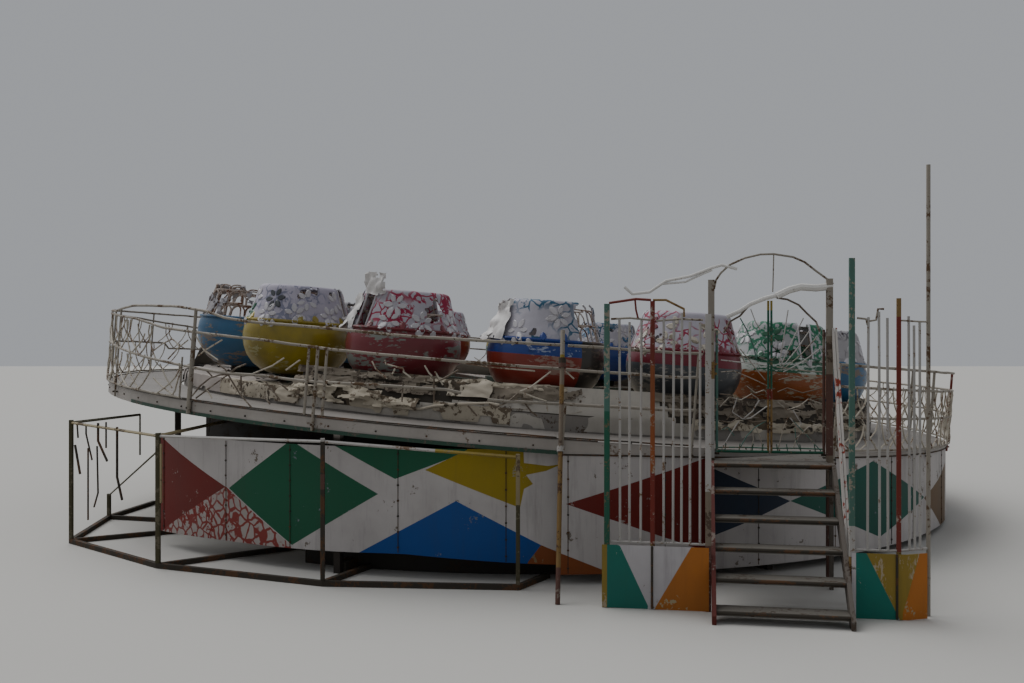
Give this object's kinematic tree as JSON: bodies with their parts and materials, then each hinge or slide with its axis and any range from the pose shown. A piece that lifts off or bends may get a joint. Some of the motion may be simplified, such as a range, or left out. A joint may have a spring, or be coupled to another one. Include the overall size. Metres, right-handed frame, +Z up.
{
  "type": "tilted platform tub ride",
  "caption": "Round tilted platform ride: tub cars spinning on a turntable inside a railed walkway, with a painted skirt and a gated entrance stair.",
  "frame": {"origin": "on the ground under the middle of the turntable, at the underside of the foot plate", "axes": "+Z up, -Y towards the entrance side, +X towards the low side of the deck"},
  "size_m": [11.5429, 13.0211, 3.7],
  "materials": {
    "bare_steel": "worn dark paint with rust",
    "sheet_steel": "scuffed grey sheet",
    "rail_paint": "pale paint, chipped",
    "skirt_paint": "painted sheet with diamonds, peeling",
    "panel_paint": "painted sheet with triangles",
    "white_paint": "chipped white paint",
    "ochre_paint": "flaking ochre paint",
    "cream_sheet": "worn cream sheet",
    "green_paint": "flaking green paint",
    "tub_blue": "weathered gelcoat",
    "tub_red": "weathered gelcoat",
    "tub_yellow": "weathered gelcoat",
    "tub_green": "weathered gelcoat"
  },
  "bodies": {
    "base": {"centre_base": "bare_steel", "walkway_1": "sheet_steel", "walkway_2": "sheet_steel", "walkway_3": "sheet_steel", "walkway_4": "sheet_steel", "walkway_5": "sheet_steel", "walkway_6": "sheet_steel", "walkway_7": "sheet_steel", "walkway_8": "sheet_steel", "railing_near": "rail_paint", "railing_right": "rail_paint", "railing_far_right": "rail_paint", "railing_far_left": "rail_paint", "railing_left": "rail_paint", "railing_front_left": "rail_paint", "skirt_front_left": "skirt_paint", "skirt_entrance": "skirt_paint", "skirt_right": "skirt_paint", "skirt_back": "skirt_paint", "rim_pole": "ochre_paint", "outer_frame_sill": "bare_steel", "outer_frame_rail": "bare_steel", "tread_1": "sheet_steel", "tread_2": "sheet_steel", "tread_3": "sheet_steel", "tread_4": "sheet_steel", "tread_5": "sheet_steel", "tread_6": "sheet_steel", "stringer_left": "bare_steel", "stringer_right": "bare_steel", "landing": "sheet_steel", "handrail_right": "white_paint", "gate_frame": "white_paint", "flank_screen_left": "white_paint", "flank_screen_right": "white_paint", "flank_panel_left": "panel_paint", "flank_panel_right": "panel_paint"},
    "turntable": {"turntable_pan": "cream_sheet", "turntable_apron": "cream_sheet", "sweep_frame": "bare_steel"},
    "tub_01": {"tub_01": "tub_blue"},
    "tub_02": {"tub_02": "tub_red"},
    "tub_03": {"tub_03": "tub_green"},
    "tub_04": {"tub_04": "tub_green"},
    "tub_05": {"tub_05": "tub_blue"},
    "tub_06": {"tub_06": "tub_red"},
    "tub_07": {"tub_07": "tub_yellow"},
    "tub_08": {"tub_08": "tub_green"},
    "tub_09": {"tub_09": "tub_blue"},
    "tub_10": {"tub_10": "tub_red"},
    "tub_11": {"tub_11": "tub_yellow"},
    "tub_12": {"tub_12": "tub_green"},
    "tub_13": {"tub_13": "tub_blue"},
    "tub_14": {"tub_14": "tub_blue"},
    "tub_15": {"tub_15": "tub_yellow"},
    "tub_16": {"tub_16": "tub_red"},
    "gate_left": {"gate_left": "green_paint"},
    "gate_right": {"gate_right": "green_paint"}
  },
  "joints": [
    {"name": "turntable_spin", "type": "hinge", "parent": "base", "child": "turntable", "pos_m": [0.0075, 0, 1.46372], "axis": [0.075, 0, 0.9972], "continuous": true},
    {"name": "tub_01_spin", "type": "hinge", "parent": "turntable", "child": "tub_01", "pos_m": [0.14373, -4.06861, 1.8546], "axis": [0.075, 0, 0.9972], "continuous": true},
    {"name": "tub_02_spin", "type": "hinge", "parent": "turntable", "child": "tub_02", "pos_m": [1.68825, -3.71813, 1.73847], "axis": [0.075, 0, 0.9972], "continuous": true},
    {"name": "tub_03_spin", "type": "hinge", "parent": "turntable", "child": "tub_03", "pos_m": [2.98145, -2.8016, 1.64123], "axis": [0.075, 0, 0.9972], "continuous": true},
    {"name": "tub_04_spin", "type": "hinge", "parent": "turntable", "child": "tub_04", "pos_m": [3.82647, -1.45856, 1.5777], "axis": [0.075, 0, 0.9972], "continuous": true},
    {"name": "tub_05_spin", "type": "hinge", "parent": "turntable", "child": "tub_05", "pos_m": [4.09464, 0.10654, 1.55753], "axis": [0.075, 0, 0.9972], "continuous": true},
    {"name": "tub_06_spin", "type": "hinge", "parent": "turntable", "child": "tub_06", "pos_m": [3.74515, 1.65542, 1.58381], "axis": [0.075, 0, 0.9972], "continuous": true},
    {"name": "tub_07_spin", "type": "hinge", "parent": "turntable", "child": "tub_07", "pos_m": [2.83121, 2.95227, 1.65253], "axis": [0.075, 0, 0.9972], "continuous": true},
    {"name": "tub_08_spin", "type": "hinge", "parent": "turntable", "child": "tub_08", "pos_m": [1.49194, 3.79967, 1.75323], "axis": [0.075, 0, 0.9972], "continuous": true},
    {"name": "tub_09_spin", "type": "hinge", "parent": "turntable", "child": "tub_09", "pos_m": [-0.06875, 4.06861, 1.87058], "axis": [0.075, 0, 0.9972], "continuous": true},
    {"name": "tub_10_spin", "type": "hinge", "parent": "turntable", "child": "tub_10", "pos_m": [-1.61327, 3.71813, 1.98671], "axis": [0.075, 0, 0.9972], "continuous": true},
    {"name": "tub_11_spin", "type": "hinge", "parent": "turntable", "child": "tub_11", "pos_m": [-2.90647, 2.8016, 2.08395], "axis": [0.075, 0, 0.9972], "continuous": true},
    {"name": "tub_12_spin", "type": "hinge", "parent": "turntable", "child": "tub_12", "pos_m": [-3.75149, 1.45856, 2.14749], "axis": [0.075, 0, 0.9972], "continuous": true},
    {"name": "tub_13_spin", "type": "hinge", "parent": "turntable", "child": "tub_13", "pos_m": [-4.01966, -0.10654, 2.16765], "axis": [0.075, 0, 0.9972], "continuous": true},
    {"name": "tub_14_spin", "type": "hinge", "parent": "turntable", "child": "tub_14", "pos_m": [-3.67017, -1.65542, 2.14137], "axis": [0.075, 0, 0.9972], "continuous": true},
    {"name": "tub_15_spin", "type": "hinge", "parent": "turntable", "child": "tub_15", "pos_m": [-2.75623, -2.95227, 2.07265], "axis": [0.075, 0, 0.9972], "continuous": true},
    {"name": "tub_16_spin", "type": "hinge", "parent": "turntable", "child": "tub_16", "pos_m": [-1.41696, -3.79967, 1.97195], "axis": [0.075, 0, 0.9972], "continuous": true},
    {"name": "gate_left_hinge", "type": "hinge", "parent": "base", "child": "gate_left", "pos_m": [1.72404, -5.53443, 1.8], "axis": [0, 0, 1], "range_deg": [-90, 0]},
    {"name": "gate_right_hinge", "type": "hinge", "parent": "base", "child": "gate_right", "pos_m": [2.67931, -5.70287, 1.8], "axis": [0, 0, 1], "range_deg": [0, 90]}
  ]
}
